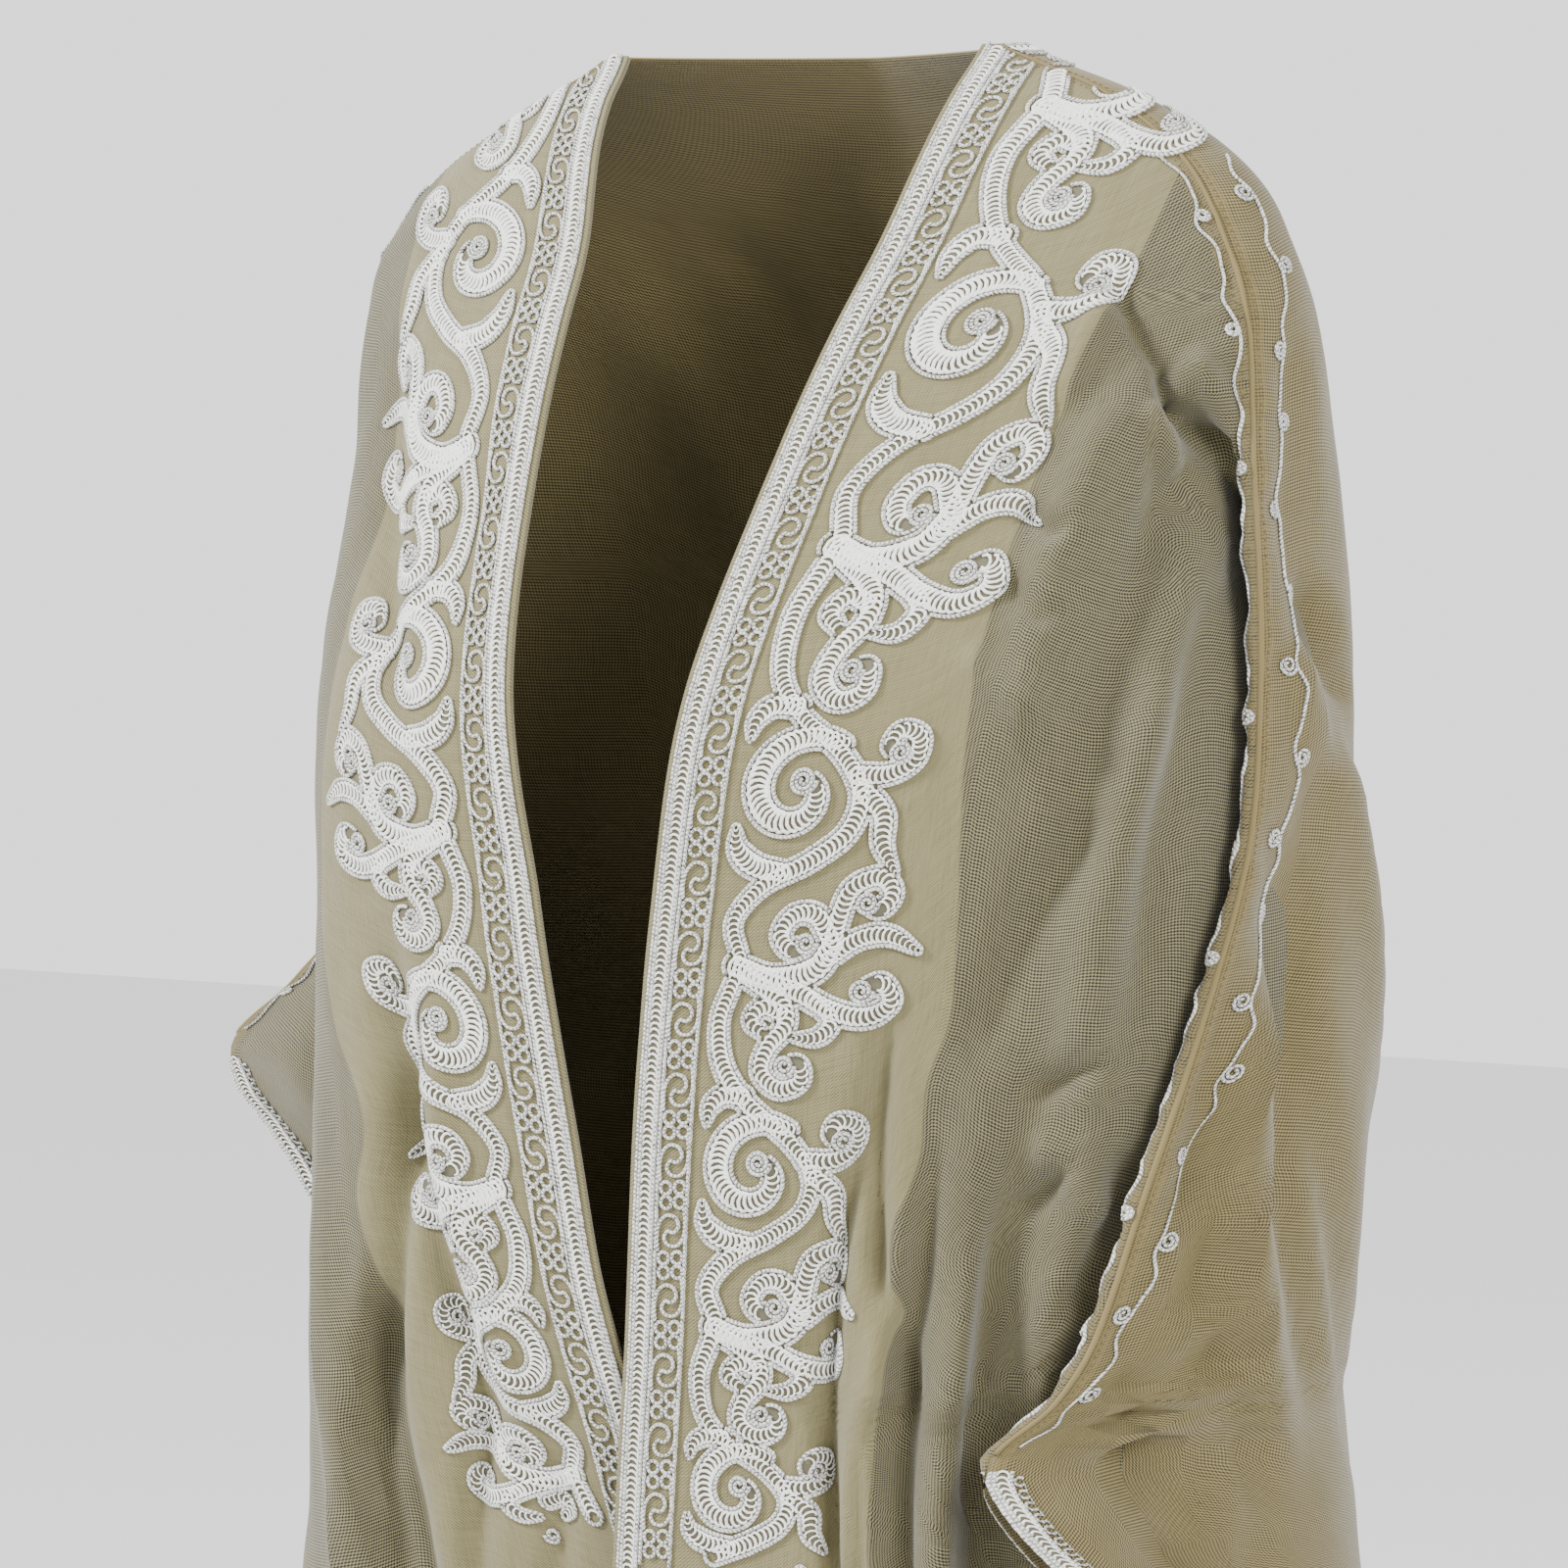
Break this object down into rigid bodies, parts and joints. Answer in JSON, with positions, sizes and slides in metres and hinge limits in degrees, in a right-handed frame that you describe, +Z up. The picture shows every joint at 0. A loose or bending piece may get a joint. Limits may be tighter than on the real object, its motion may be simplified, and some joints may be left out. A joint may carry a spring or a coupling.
{
  "type": "bisht",
  "caption": "Long open bisht cloak of thin olive cloth, worn hollow over the shoulders with its sleeves hanging empty; raised white scroll and braid embroidery runs along the front edges.",
  "frame": {"origin": "midway between the two points where the shoulder seams meet the neck, where the wearer's shoulders carry the cloak", "axes": "+X towards the wearer's left, -Y the wearer's front, +Z up"},
  "size_m": [0.6611, 0.3973, 1.3782],
  "materials": {
    "cloth": "thin matt wool gauze",
    "facing_cloth": "matt plain weave",
    "white_cord": "twisted cotton cord"
  },
  "bodies": {
    "root": {"front_left": "cloth", "front_right": "cloth", "back": "cloth", "facing_left": "facing_cloth", "facing_right": "facing_cloth", "edge_braid_left": "white_cord", "edge_braid_right": "white_cord", "edge_braid_neck": "white_cord", "scrollwork_left": "white_cord", "scrollwork_right": "white_cord", "cuff_braid_front_left": "white_cord", "cuff_braid_back_left": "white_cord", "cuff_braid_front_right": "white_cord", "cuff_braid_back_right": "white_cord"}
  },
  "joints": []
}
